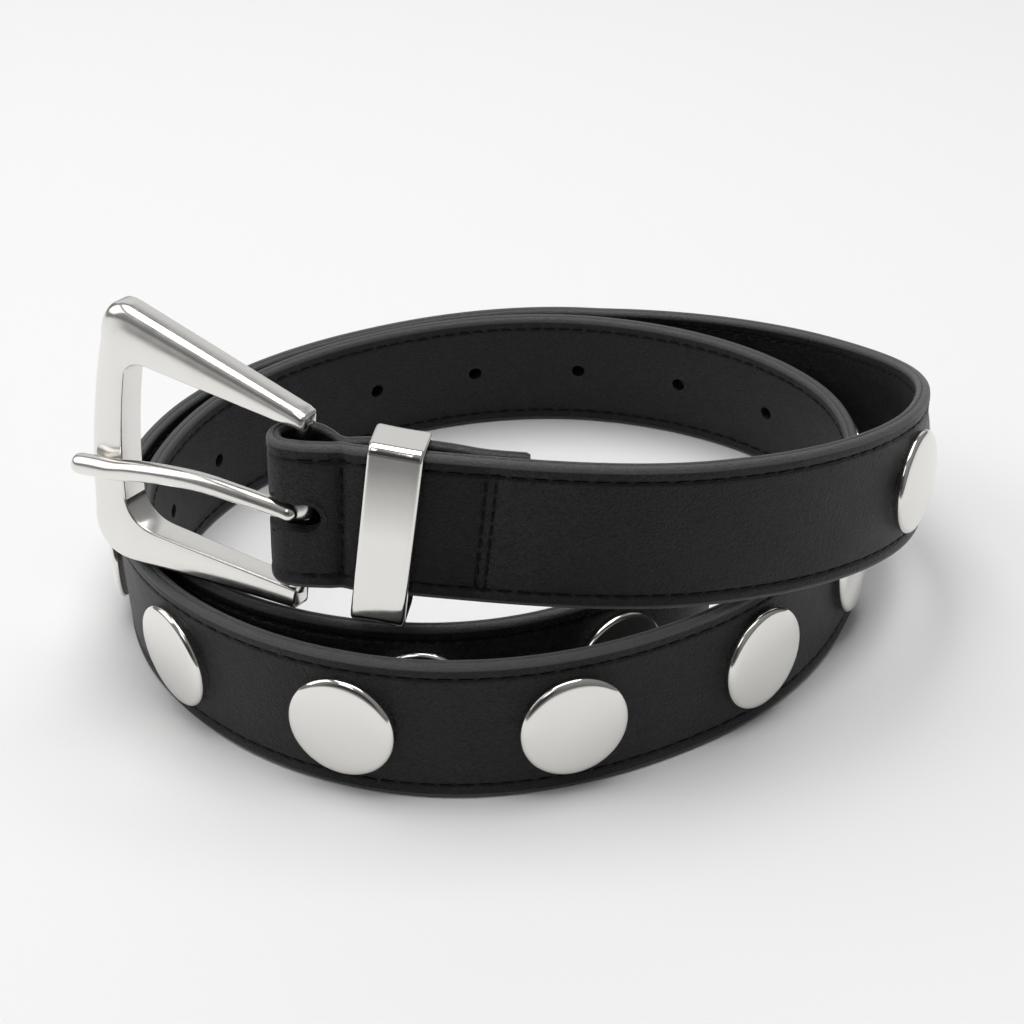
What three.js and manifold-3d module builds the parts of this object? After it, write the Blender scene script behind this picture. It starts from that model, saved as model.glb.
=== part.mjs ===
// A studded belt lying coiled on a flat surface, about two and a quarter turns.
// Millimetres, Z up. The strap stands on its lower edge and the buckle end rides on the coil.
import * as THREE from 'three';
import Module from 'manifold-3d';

const wasm = await Module();
wasm.setup();

// Strap
const STRAP_WIDTH = 30;
const STRAP_THICK = 3;
const STRAP_EDGE = 0.7;
const TIP_TURN = 687;
const TIP_LENGTH = 20;

// Coil. Turn is the angle round the coil, anticlockwise from above, 0 at the right.
const COIL_REACH = 82;
const BAR_TURN = -120;

// The buckle end rides high enough for the lower corner of the frame to clear the coil under it.
// reach: share of COIL_REACH, lift of the lower edge: share of that ride height, lean outwards: degrees
const COIL_ROWS = [
  { turn: -150, reach: 1.165, lift: 1.002, lean: 0 },
  { turn: -105, reach: 0.895, lift: 0.964, lean: 3 },
  { turn: -60, reach: 0.890, lift: 0.797, lean: 2 },
  { turn: -15, reach: 1.020, lift: 0.562, lean: -1 },
  { turn: 30, reach: 1.110, lift: 0.175, lean: -3 },
  { turn: 75, reach: 1.090, lift: 0, lean: -7 },
  { turn: 120, reach: 1.005, lift: 0, lean: -8 },
  { turn: 165, reach: 0.985, lift: 0, lean: -2 },
  { turn: 210, reach: 0.990, lift: 0, lean: 6 },
  { turn: 255, reach: 1.000, lift: 0, lean: 3 },
  { turn: 300, reach: 0.885, lift: 0, lean: 2 },
  { turn: 345, reach: 0.875, lift: 0, lean: -4 },
  { turn: 390, reach: 1.035, lift: 0, lean: -9 },
  { turn: 435, reach: 1.050, lift: 0, lean: -10 },
  { turn: 480, reach: 0.950, lift: 0, lean: -6 },
  { turn: 525, reach: 0.920, lift: 0, lean: -2 },
  { turn: 570, reach: 0.945, lift: 0, lean: 3 },
  { turn: 615, reach: 0.862, lift: 0, lean: 0 },
  { turn: 660, reach: 0.680, lift: 0, lean: -2 },
  { turn: 705, reach: 0.520, lift: 0, lean: -3 },
];

// Fold of the strap round the buckle bar
const BAR_RADIUS = 1.6;
const BAR_PLAY = 0.5;
const FOLD_SLACK = 0.9;
const SKIVED_THICK = 2.2;
const FOLD_LENGTH = 41.4;

// distance from the bar: share of FOLD_LENGTH, gap to the front layer: share of the bar's room
const FOLD_ROWS = [
  { along: 0, gap: 1.00 },
  { along: 0.075, gap: 1.00 },
  { along: 0.14, gap: 0.60 },
  { along: 0.205, gap: 0.03 },
  { along: 0.28, gap: 0.15 },
  { along: 0.40, gap: 0.36 },
  { along: 0.52, gap: 0.40 },
  { along: 0.66, gap: 0.30 },
  { along: 0.77, gap: 0.10 },
  { along: 0.83, gap: 0.03 },
  { along: 1, gap: 0.03 },
];
const SEAM_NEAR = 0.21;
const SEAM_FAR = 0.843;
const SEAM_WIDTH = 1;
const SEAM_INSET = 1;
const SLOT_HEIGHT = 6;
const SLOT_REACH = 5.2;

// Adjusting holes
const HOLE_COUNT = 8;
const HOLE_PITCH = 26.3;
const HOLE_RADIUS = 1.6;
const FIRST_HOLE = 738.5;

// Studs
const STUD_RADIUS = 10.7;
const STUD_HEIGHT = 2.3;
const STUD_GAP = 0.6;
const STUD_PITCH = 43.6;
const FIRST_STUD = 137.5;
const STUD_TO_HOLE = 33;
const TAIL_STUDS = 2;
const TAIL_PITCH = 39.4;
const TAIL_END = 36.2;

// Studs set by hand a little past the even pitch, shift: share of STUD_PITCH
const STUD_SHIFTS = [
  { stud: 9, shift: 0.065 },
  { stud: 10, shift: 0.028 },
];

// radius: share of STUD_RADIUS, height: share of STUD_HEIGHT
const STUD_ROWS = [
  { radius: 0.955, height: 0 },
  { radius: 1, height: 0.22 },
  { radius: 0.975, height: 0.62 },
  { radius: 0.86, height: 0.85 },
  { radius: 0.45, height: 0.98 },
];

// Keeper
const KEEPER_LENGTH = 10.2;
const KEEPER_HEIGHT = 37.7;
const KEEPER_WALL = 1.2;
const KEEPER_RIM = 1.1;
const KEEPER_PLAY = 0.5;
const KEEPER_BEVEL = 0.5;
const KEEPER_ROUND = 1.8;
const KEEPER_ALONG = 17.4;
const KEEPER_TILT = 4;

// Buckle frame, seen from its front: reach away from the bar, rise up along it
const FRAME_LENGTH = 50;
const FRAME_HEIGHT = 57;
const FRAME_THICK = 6;
const FRAME_BEVEL = 0.5;
const FRAME_TURN = 33;
const FRAME_CANT = 5.5;
const FRAME_RIDE = 0.435;

// A row per corner, from the end of the upper arm round to the end of the lower arm.
// reach: share of FRAME_LENGTH, rise and round: share of FRAME_HEIGHT
const FRAME_OUTER = [
  { reach: -0.030, rise: 0.338, round: 0 },
  { reach: 0.908, rise: 0.488, round: 0.096 },
  { reach: 1.006, rise: 0.000, round: 0.350 },
  { reach: 0.956, rise: -0.509, round: 0.158 },
  { reach: -0.045, rise: -0.385, round: 0 },
];
const FRAME_INNER = [
  { reach: -0.030, rise: 0.284, round: 0 },
  { reach: 0.794, rise: 0.295, round: 0.088 },
  { reach: 0.848, rise: 0.000, round: 0.350 },
  { reach: 0.778, rise: -0.330, round: 0.123 },
  { reach: -0.045, rise: -0.307, round: 0 },
];
// front, back and shoulder, the rounding of the outer front edge: share of FRAME_THICK
const FRAME_FACES = [
  { corner: 0, front: 0.38, back: -0.38, shoulder: 0.23 },
  { corner: 1, front: 0.50, back: -0.50, shoulder: 0.50 },
  { corner: 2, front: 0.50, back: -0.50, shoulder: 0.50 },
  { corner: 3, front: 0.50, back: -0.50, shoulder: 0.50 },
  { corner: 4, front: 0.38, back: -0.38, shoulder: 0.23 },
];

// Prong
const PRONG_RADIUS = 2.1;
const PRONG_PLAY = 0.4;
const EYE_WALL = 1.6;
const EYE_HEIGHT = 3.8;

// reach: share of FRAME_LENGTH, rise: share of FRAME_HEIGHT, off: share of FRAME_THICK, size: radius
const PRONG_ROWS = [
  { reach: -0.010, rise: 0.000, off: 0.69, size: 0.80 },
  { reach: 0.030, rise: 0.001, off: 0.71, size: 0.80 },
  { reach: 0.100, rise: 0.002, off: 0.77, size: 0.81 },
  { reach: 0.200, rise: 0.003, off: 0.87, size: 0.84 },
  { reach: 0.360, rise: -0.004, off: 0.95, size: 0.88 },
  { reach: 0.520, rise: -0.030, off: 0.97, size: 0.92 },
  { reach: 0.680, rise: -0.068, off: 0.95, size: 0.96 },
  { reach: 0.800, rise: -0.103, off: 0.92, size: 0.99 },
  { reach: 0.920, rise: -0.125, off: 0.92, size: 1.00 },
  { reach: 0.985, rise: -0.138, off: 0.93, size: 1.00 },
];

const DEG = Math.PI / 180;
const Z_AXIS = new THREE.Vector3(0, 0, 1);

function material(color, roughness, metalness) {
  return new THREE.MeshStandardMaterial({ color, roughness, metalness });
}

function toSolid(geometry) {
  const flat = geometry.index ? geometry.toNonIndexed() : geometry;
  const points = flat.attributes.position.array;
  const keys = new Map();
  const vertices = [];
  const faces = [];
  for (let i = 0; i < points.length; i += 9) {
    const face = [];
    for (let j = 0; j < 9; j += 3) {
      const p = [points[i + j], points[i + j + 1], points[i + j + 2]];
      const key = p.map((value) => Math.round(value * 1e4)).join(',');
      if (!keys.has(key)) {
        keys.set(key, vertices.length / 3);
        vertices.push(p[0], p[1], p[2]);
      }
      face.push(keys.get(key));
    }
    if (face[0] !== face[1] && face[1] !== face[2] && face[2] !== face[0]) {
      faces.push(face[0], face[1], face[2]);
    }
  }
  const mesh = new wasm.Mesh({
    numProp: 3,
    vertProperties: new Float32Array(vertices),
    triVerts: new Uint32Array(faces),
  });
  return new wasm.Manifold(mesh);
}

function toGeometry(solid) {
  const mesh = solid.getMesh();
  const geometry = new THREE.BufferGeometry();
  const positions = new Float32Array(mesh.numVert * 3);
  for (let i = 0; i < mesh.numVert; i += 1) {
    for (let k = 0; k < 3; k += 1) {
      positions[i * 3 + k] = mesh.vertProperties[i * mesh.numProp + k];
    }
  }
  geometry.setAttribute('position', new THREE.BufferAttribute(positions, 3));
  geometry.setIndex(new THREE.BufferAttribute(new Uint32Array(mesh.triVerts), 1));
  geometry.computeVertexNormals();
  return geometry;
}

// A closed skin over a row of rings that all have the same number of points.
function loft(rings) {
  const count = rings[0].length;
  const positions = [];
  const index = [];
  for (const ring of rings) {
    for (const p of ring) {
      positions.push(p.x, p.y, p.z);
    }
  }
  for (let r = 0; r + 1 < rings.length; r += 1) {
    for (let k = 0; k < count; k += 1) {
      const a = r * count + k;
      const b = r * count + ((k + 1) % count);
      const c = a + count;
      const d = b + count;
      index.push(a, b, d, a, d, c);
    }
  }
  const last = (rings.length - 1) * count;
  for (let k = 1; k + 1 < count; k += 1) {
    index.push(0, k + 1, k);
    index.push(last, last + k, last + k + 1);
  }
  const geometry = new THREE.BufferGeometry();
  geometry.setAttribute('position', new THREE.Float32BufferAttribute(positions, 3));
  geometry.setIndex(index);
  return geometry;
}

// Value of a column between its rows, as a smooth curve through them.
function rowValue(rows, key, column, at) {
  let i = 0;
  while (i + 2 < rows.length && rows[i + 1][key] <= at) {
    i += 1;
  }
  const a = rows[Math.max(i - 1, 0)];
  const b = rows[i];
  const c = rows[i + 1];
  const d = rows[Math.min(i + 2, rows.length - 1)];
  const f = (at - b[key]) / (c[key] - b[key]);
  const m0 = (c[column] - a[column]) / (c[key] - a[key]) * (c[key] - b[key]);
  const m1 = (d[column] - b[column]) / (d[key] - b[key]) * (c[key] - b[key]);
  const g = f * f;
  const h = g * f;
  const start = (2 * h - 3 * g + 1) * b[column] + (h - 2 * g + f) * m0;
  const end = (3 * g - 2 * h) * c[column] + (h - g) * m1;
  return start + end;
}

const rideHeight = STRAP_WIDTH / 2 + FRAME_HEIGHT * FRAME_RIDE;

function lowerEdge(turn) {
  const reach = COIL_REACH * rowValue(COIL_ROWS, 'turn', 'reach', turn);
  const lift = rideHeight * rowValue(COIL_ROWS, 'turn', 'lift', turn);
  return new THREE.Vector3(reach * Math.cos(turn * DEG), reach * Math.sin(turn * DEG), Math.max(lift, 0));
}

// Middle of the strap at one turn, with its own directions: along it, up across it and out of its face.
function strapAt(turn) {
  const along = lowerEdge(turn + 0.3).sub(lowerEdge(turn - 0.3)).normalize();
  const flatOut = along.clone().cross(Z_AXIS).normalize();
  const flatUp = flatOut.clone().cross(along);
  const lean = DEG * rowValue(COIL_ROWS, 'turn', 'lean', turn);
  const up = flatUp.clone().multiplyScalar(Math.cos(lean)).addScaledVector(flatOut, Math.sin(lean));
  const out = flatOut.multiplyScalar(Math.cos(lean)).addScaledVector(flatUp, -Math.sin(lean));
  const middle = lowerEdge(turn).addScaledVector(up, STRAP_WIDTH / 2);
  return { middle, along, up, out };
}

// Distance along the strap from the bar, measured on its middle line.
const measured = [];
let travelled = 0;
let previous = strapAt(BAR_TURN).middle;
for (let turn = BAR_TURN; turn < TIP_TURN; turn += 0.5) {
  const here = strapAt(turn).middle;
  travelled += here.distanceTo(previous);
  previous = here;
  measured.push({ turn, travelled });
}
const STRAP_RUN = travelled;

function turnAt(distance) {
  let i = 0;
  while (i + 2 < measured.length && measured[i + 1].travelled < distance) {
    i += 1;
  }
  const a = measured[i];
  const b = measured[i + 1];
  return a.turn + (b.turn - a.turn) * (distance - a.travelled) / (b.travelled - a.travelled);
}

function strapAfter(distance) {
  return strapAt(turnAt(distance));
}

// Cross-section of the strap with softened edges.
function section(middle, up, out, halfWidth, thick) {
  const t = thick / 2;
  const e = Math.min(STRAP_EDGE, halfWidth * 0.4);
  const outline = [
    [t - e, -halfWidth], [-t + e, -halfWidth], [-t, -halfWidth + e], [-t, halfWidth - e],
    [-t + e, halfWidth], [t - e, halfWidth], [t, halfWidth - e], [t, -halfWidth + e],
  ];
  return outline.map(([a, b]) => middle.clone().addScaledVector(out, a).addScaledVector(up, b));
}

// Strap: back layer of the fold, round the bar, then the whole coil to the tip
const halfWidth = STRAP_WIDTH / 2;
const barRoom = 2 * (BAR_RADIUS + BAR_PLAY);
const foldRadius = barRoom / 2 + STRAP_THICK / 2;
const barPlace = strapAt(BAR_TURN);
const barCentre = barPlace.middle.clone().addScaledVector(barPlace.out, -foldRadius);
const strapRings = [];

function backLayer(distance) {
  const place = strapAfter(distance);
  const gap = barRoom * rowValue(FOLD_ROWS, 'along', 'gap', distance / FOLD_LENGTH);
  const inward = STRAP_THICK / 2 + gap + SKIVED_THICK / 2;
  place.middle.addScaledVector(place.out, -inward);
  return place;
}

const noseCentre = barCentre.clone().addScaledVector(barPlace.along, -FOLD_SLACK);
for (let i = 20; i >= 0; i -= 1) {
  const place = backLayer(FOLD_LENGTH * i / 20);
  strapRings.push(section(place.middle, place.up, place.out.negate(), halfWidth, SKIVED_THICK));
}
for (let i = 0; i <= 8; i += 1) {
  const angle = Math.PI * (1 - i / 8);
  const thick = SKIVED_THICK + (STRAP_THICK - SKIVED_THICK) * i / 8;
  const radius = barRoom / 2 + thick / 2;
  const out = barPlace.out.clone().multiplyScalar(Math.cos(angle));
  out.addScaledVector(barPlace.along, -Math.sin(angle));
  const middle = noseCentre.clone().addScaledVector(out, radius);
  strapRings.push(section(middle, barPlace.up, out, halfWidth, thick));
}
const runSteps = 140;
for (let i = 0; i <= runSteps; i += 1) {
  const place = strapAfter((STRAP_RUN - TIP_LENGTH) * i / runSteps);
  strapRings.push(section(place.middle, place.up, place.out, halfWidth, STRAP_THICK));
}
for (const share of [0.3, 0.55, 0.75, 0.88, 0.96, 1]) {
  const place = strapAfter(STRAP_RUN - TIP_LENGTH * (1 - share));
  const half = halfWidth * Math.max(Math.pow(1 - Math.pow(share, 2.4), 0.5), 0.14);
  strapRings.push(section(place.middle, place.up, place.out, half, STRAP_THICK));
}
let strap = toSolid(loft(strapRings));

// Seams where the two layers of the fold are joined
function seam(from, to) {
  const rings = [];
  for (let i = 0; i <= 3; i += 1) {
    const distance = from + (to - from) * i / 3;
    const front = strapAfter(distance);
    const back = backLayer(distance);
    const middle = front.middle.clone().add(back.middle).multiplyScalar(0.5);
    rings.push(section(middle, front.up, front.out, halfWidth - SEAM_INSET, front.middle.distanceTo(back.middle)));
  }
  return toSolid(loft(rings));
}
const nearSeam = FOLD_LENGTH * SEAM_NEAR;
strap = strap.add(seam(nearSeam - SEAM_WIDTH / 2, nearSeam + SEAM_WIDTH / 2));
strap = strap.add(seam(FOLD_LENGTH * SEAM_FAR, FOLD_LENGTH - SEAM_INSET));

// Slot for the prong, through both layers of the fold
const slotShape = new THREE.Shape();
slotShape.moveTo(-foldRadius * 3, -SLOT_HEIGHT / 2);
slotShape.lineTo(SLOT_REACH - SLOT_HEIGHT / 2, -SLOT_HEIGHT / 2);
slotShape.absarc(SLOT_REACH - SLOT_HEIGHT / 2, 0, SLOT_HEIGHT / 2, -Math.PI / 2, Math.PI / 2, false);
slotShape.lineTo(-foldRadius * 3, SLOT_HEIGHT / 2);
slotShape.closePath();
const slotDepth = foldRadius * 5;
const slot = new THREE.ExtrudeGeometry(slotShape, { depth: slotDepth, bevelEnabled: false, curveSegments: 6 });
slot.translate(0, 0, -slotDepth / 2);
const barBasis = new THREE.Matrix4().makeBasis(barPlace.along, barPlace.up, barPlace.out);
barBasis.setPosition(barCentre);
slot.applyMatrix4(barBasis);
strap = strap.subtract(toSolid(slot));

// Adjusting holes
for (let i = 0; i < HOLE_COUNT; i += 1) {
  const place = strapAfter(FIRST_HOLE + i * HOLE_PITCH);
  const punch = new THREE.CylinderGeometry(HOLE_RADIUS, HOLE_RADIUS, STRAP_THICK * 3, 12);
  const basis = new THREE.Matrix4().makeBasis(place.along, place.out, place.up.clone().negate());
  basis.setPosition(place.middle);
  punch.applyMatrix4(basis);
  strap = strap.subtract(toSolid(punch));
}

// Studs, all alike, on the outer face
function studGeometry(distance) {
  const place = strapAfter(distance);
  const profile = [new THREE.Vector2(0, 0)];
  for (const row of STUD_ROWS) {
    profile.push(new THREE.Vector2(row.radius * STUD_RADIUS, row.height * STUD_HEIGHT));
  }
  profile.push(new THREE.Vector2(0, STUD_HEIGHT));
  const geometry = new THREE.LatheGeometry(profile, 24);
  const basis = new THREE.Matrix4().makeBasis(place.along, place.out, place.up.clone().negate());
  basis.setPosition(place.middle.clone().addScaledVector(place.out, STRAP_THICK / 2 + STUD_GAP));
  geometry.applyMatrix4(basis);
  return toGeometry(toSolid(geometry));
}

// Keeper: a flat ring round both layers of the fold
function roundedBox(shape, width, height, round) {
  const w = width / 2;
  const h = height / 2;
  shape.moveTo(-w + round, -h);
  shape.lineTo(w - round, -h);
  shape.quadraticCurveTo(w, -h, w, -h + round);
  shape.lineTo(w, h - round);
  shape.quadraticCurveTo(w, h, w - round, h);
  shape.lineTo(-w + round, h);
  shape.quadraticCurveTo(-w, h, -w, h - round);
  shape.lineTo(-w, -h + round);
  shape.quadraticCurveTo(-w, -h, -w + round, -h);
  return shape;
}

const foldGap = barRoom * rowValue(FOLD_ROWS, 'along', 'gap', KEEPER_ALONG / FOLD_LENGTH);
const foldDepth = STRAP_THICK + SKIVED_THICK + foldGap;
const keeperDepth = foldDepth + 2 * (KEEPER_PLAY + KEEPER_WALL);
const keeperShape = roundedBox(new THREE.Shape(), keeperDepth, KEEPER_HEIGHT, KEEPER_ROUND);
const keeperHole = new THREE.Path();
const holeWidth = keeperDepth - 2 * KEEPER_WALL;
roundedBox(keeperHole, holeWidth, KEEPER_HEIGHT - 2 * KEEPER_RIM, KEEPER_ROUND / 2);
keeperShape.holes.push(keeperHole);
const keeperGeometry = new THREE.ExtrudeGeometry(keeperShape, {
  depth: KEEPER_LENGTH - 2 * KEEPER_BEVEL,
  bevelEnabled: true,
  bevelThickness: KEEPER_BEVEL,
  bevelSize: KEEPER_BEVEL,
  bevelOffset: -KEEPER_BEVEL,
  bevelSegments: 2,
  curveSegments: 4,
});
keeperGeometry.translate(0, 0, KEEPER_BEVEL - KEEPER_LENGTH / 2);
const keeperPlace = strapAfter(KEEPER_ALONG);
const keeperDrop = KEEPER_HEIGHT / 2 - KEEPER_RIM - KEEPER_PLAY * 2 - halfWidth;
const keeperBasis = new THREE.Matrix4().makeBasis(
  keeperPlace.out.clone().negate(),
  keeperPlace.up,
  keeperPlace.along,
);
const keeperCentre = keeperPlace.middle.clone();
keeperCentre.addScaledVector(keeperPlace.out, (STRAP_THICK - foldDepth) / 2);
keeperCentre.addScaledVector(keeperPlace.up, -keeperDrop);
keeperBasis.setPosition(keeperCentre);
keeperGeometry.applyMatrix4(new THREE.Matrix4().makeRotationX(KEEPER_TILT * DEG));
keeperGeometry.applyMatrix4(keeperBasis);

// Buckle frame and prong share one set of directions round the bar
const away = new THREE.Vector3(-Math.cos(FRAME_TURN * DEG), Math.sin(FRAME_TURN * DEG), 0);
const face = new THREE.Vector3(-Math.sin(FRAME_TURN * DEG), -Math.cos(FRAME_TURN * DEG), 0);
const frameAway = away.clone().multiplyScalar(Math.cos(FRAME_CANT * DEG));
frameAway.addScaledVector(Z_AXIS, Math.sin(FRAME_CANT * DEG));
const frameUp = Z_AXIS.clone().multiplyScalar(Math.cos(FRAME_CANT * DEG));
frameUp.addScaledVector(away, -Math.sin(FRAME_CANT * DEG));
const frameBasis = new THREE.Matrix4().makeBasis(frameAway.clone().negate(), frameUp, face);
frameBasis.setPosition(barCentre);

// Point on a line through corners, each cut off with a smooth curve. Whole numbers are the corners.
function cornerLine(rows, at) {
  const points = rows.map((row) => new THREE.Vector2(-row.reach * FRAME_LENGTH, row.rise * FRAME_HEIGHT));
  const i = Math.min(Math.floor(at), rows.length - 2);
  const f = at - i;
  const a = points[i];
  const b = points[i + 1];
  const step = a.distanceTo(b);
  const leave = a.clone().lerp(b, rows[i].round * FRAME_HEIGHT / step);
  const enter = b.clone().lerp(a, rows[i + 1].round * FRAME_HEIGHT / step);
  if (f < 0.3 && i > 0) {
    const before = points[i - 1];
    const from = a.clone().lerp(before, rows[i].round * FRAME_HEIGHT / a.distanceTo(before));
    return cornerCurve(from, a, leave, 0.5 + 0.5 * f / 0.3);
  }
  if (f > 0.7 && i + 2 < rows.length) {
    const next = points[i + 2];
    const to = b.clone().lerp(next, rows[i + 1].round * FRAME_HEIGHT / b.distanceTo(next));
    return cornerCurve(enter, b, to, 0.5 * (f - 0.7) / 0.3);
  }
  const low = i > 0 ? 0.3 : 0;
  const high = i + 2 < rows.length ? 0.7 : 1;
  return leave.lerp(enter, (f - low) / (high - low));
}

function cornerCurve(from, corner, to, t) {
  const p = from.clone().multiplyScalar((1 - t) * (1 - t));
  p.addScaledVector(corner, 2 * t * (1 - t));
  return p.addScaledVector(to, t * t);
}

// Cross-section of the frame at one place round it. Size and push round off the ends of the arms.
function frameRing(at, size, push) {
  const outer = cornerLine(FRAME_OUTER, at);
  const inner = cornerLine(FRAME_INNER, at);
  const width = outer.distanceTo(inner);
  const inwards = inner.clone().sub(outer).divideScalar(width);
  const front = FRAME_THICK * rowValue(FRAME_FACES, 'corner', 'front', at);
  const back = FRAME_THICK * rowValue(FRAME_FACES, 'corner', 'back', at);
  const round = Math.min(FRAME_THICK * rowValue(FRAME_FACES, 'corner', 'shoulder', at), width * 0.7);
  const profile = [[width - FRAME_BEVEL, back], [width, back + FRAME_BEVEL]];
  profile.push([width, front - FRAME_BEVEL], [width - FRAME_BEVEL, front]);
  for (const angle of [90, 60, 30, 0]) {
    profile.push([round * (1 - Math.cos(angle * DEG)), front - round + round * Math.sin(angle * DEG)]);
  }
  profile.push([0, back + FRAME_BEVEL], [FRAME_BEVEL, back]);
  return profile.map(([across, off]) => {
    const a = width / 2 + (across - width / 2) * size;
    const o = (front + back) / 2 + (off - (front + back) / 2) * size;
    const p = outer.clone().addScaledVector(inwards, a);
    return new THREE.Vector3(p.x + push, p.y, o);
  });
}

const frameRings = [frameRing(0, 0.7, FRAME_BEVEL), frameRing(0, 1, 0)];
for (let corner = 0; corner < 4; corner += 1) {
  for (const f of [0.06, 0.12, 0.18, 0.24, 0.3, 0.5, 0.7, 0.76, 0.82, 0.88, 0.94, 1]) {
    frameRings.push(frameRing(corner + f, 1, 0));
  }
}
frameRings.push(frameRing(4, 0.7, FRAME_BEVEL));
const barTop = (FRAME_OUTER[0].rise + FRAME_INNER[0].rise) / 2 * FRAME_HEIGHT;
const barBottom = (FRAME_OUTER[4].rise + FRAME_INNER[4].rise) / 2 * FRAME_HEIGHT;
const bar = new THREE.CylinderGeometry(BAR_RADIUS, BAR_RADIUS, barTop - barBottom, 20);
bar.translate(0, (barTop + barBottom) / 2, 0);
const frameGeometry = toGeometry(toSolid(loft(frameRings)).add(toSolid(bar)));
frameGeometry.applyMatrix4(frameBasis);

// Prong: a round rod in a shallow S from its eye on the bar to its tip on the frame
const prongSides = 12;
const prongRings = [];
const prongEnd = PRONG_ROWS[PRONG_ROWS.length - 1].reach;
const prongStart = PRONG_ROWS[0].reach;

function prongPoint(reach) {
  return new THREE.Vector3(
    -reach * FRAME_LENGTH,
    rowValue(PRONG_ROWS, 'reach', 'rise', reach) * FRAME_HEIGHT,
    rowValue(PRONG_ROWS, 'reach', 'off', reach) * FRAME_THICK,
  );
}

function prongRing(reach, scale, push) {
  const centre = prongPoint(reach);
  const run = prongPoint(reach + 0.005).sub(prongPoint(reach - 0.005)).normalize();
  const side = new THREE.Vector3(0, 1, 0).addScaledVector(run, -run.y).normalize();
  const top = run.clone().cross(side);
  const radius = PRONG_RADIUS * rowValue(PRONG_ROWS, 'reach', 'size', reach) * scale;
  const ring = [];
  centre.addScaledVector(run, push);
  for (let k = 0; k < prongSides; k += 1) {
    const angle = 2 * Math.PI * k / prongSides;
    const p = centre.clone().addScaledVector(side, radius * Math.cos(angle));
    ring.push(p.addScaledVector(top, radius * Math.sin(angle)));
  }
  return ring;
}

const endAngles = [25, 50, 70, 84];
for (const angle of endAngles.toReversed()) {
  const push = PRONG_ROWS[0].size * PRONG_RADIUS * Math.sin(angle * DEG);
  prongRings.push(prongRing(prongStart, Math.cos(angle * DEG), -push));
}
for (let i = 0; i <= 22; i += 1) {
  prongRings.push(prongRing(prongStart + (prongEnd - prongStart) * i / 22, 1, 0));
}
for (const angle of endAngles) {
  const push = PRONG_RADIUS * Math.sin(angle * DEG);
  prongRings.push(prongRing(prongEnd, Math.cos(angle * DEG), push));
}
const eyeInner = BAR_RADIUS + PRONG_PLAY;
const eyeOuter = new THREE.CylinderGeometry(eyeInner + EYE_WALL, eyeInner + EYE_WALL, EYE_HEIGHT, 24);
const eyeBore = new THREE.CylinderGeometry(eyeInner, eyeInner, EYE_HEIGHT * 3, 24);
let prong = toSolid(loft(prongRings)).add(toSolid(eyeOuter));
prong = prong.subtract(toSolid(eyeBore));
const prongGeometry = toGeometry(prong);
prongGeometry.applyMatrix4(frameBasis);

// All pieces, with the belt's box centred over the origin
const group = new THREE.Group();
group.name = 'studded_belt';
const LEATHER = [0x141416, 0.55, 0];
const NICKEL = [0xcfcdc8, 0.22, 1];

function addPiece(name, geometry, finish) {
  const mesh = new THREE.Mesh(geometry, material(...finish));
  mesh.name = name;
  group.add(mesh);
}

addPiece('strap', toGeometry(strap), LEATHER);
addPiece('buckle_frame', frameGeometry, NICKEL);
addPiece('prong', prongGeometry, NICKEL);
addPiece('keeper', toGeometry(toSolid(keeperGeometry)), NICKEL);
const studCount = Math.floor((FIRST_HOLE - STUD_TO_HOLE - FIRST_STUD) / STUD_PITCH) + 1;
for (let i = 1; i <= studCount; i += 1) {
  const shifted = STUD_SHIFTS.find((row) => row.stud === i);
  const steps = i - 1 + (shifted ? shifted.shift : 0);
  addPiece(`stud_${String(i).padStart(2, '0')}`, studGeometry(FIRST_STUD + steps * STUD_PITCH), NICKEL);
}
for (let i = 1; i <= TAIL_STUDS; i += 1) {
  const fromTip = TAIL_END + (TAIL_STUDS - i) * TAIL_PITCH;
  addPiece(`stud_tail_${i}`, studGeometry(STRAP_RUN - fromTip), NICKEL);
}

const box = new THREE.Box3().setFromObject(group);
const centre = box.getCenter(new THREE.Vector3());
for (const mesh of group.children) {
  mesh.geometry.translate(-centre.x, -centre.y, -box.min.z);
}

export default group;
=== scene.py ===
# A studded belt lying coiled on a pale floor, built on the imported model.
# Metres, in the same frame as the CAD. The tables repeat the CAD's own sizes.
import bmesh
import bpy
import math
import random
from mathutils import Matrix, Vector


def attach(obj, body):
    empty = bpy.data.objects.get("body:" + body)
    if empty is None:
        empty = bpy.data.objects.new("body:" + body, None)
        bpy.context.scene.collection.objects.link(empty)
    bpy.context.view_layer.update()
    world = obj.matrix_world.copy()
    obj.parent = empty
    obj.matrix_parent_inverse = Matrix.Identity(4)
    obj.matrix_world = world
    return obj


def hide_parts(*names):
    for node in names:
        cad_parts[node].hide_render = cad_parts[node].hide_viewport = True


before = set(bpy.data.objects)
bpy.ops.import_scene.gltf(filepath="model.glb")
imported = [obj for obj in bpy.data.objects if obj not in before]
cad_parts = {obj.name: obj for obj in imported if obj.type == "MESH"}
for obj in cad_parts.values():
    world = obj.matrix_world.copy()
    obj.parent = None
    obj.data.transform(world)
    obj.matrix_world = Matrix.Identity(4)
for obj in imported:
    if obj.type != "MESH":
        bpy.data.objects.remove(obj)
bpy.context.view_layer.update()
MM = 0.001

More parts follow.
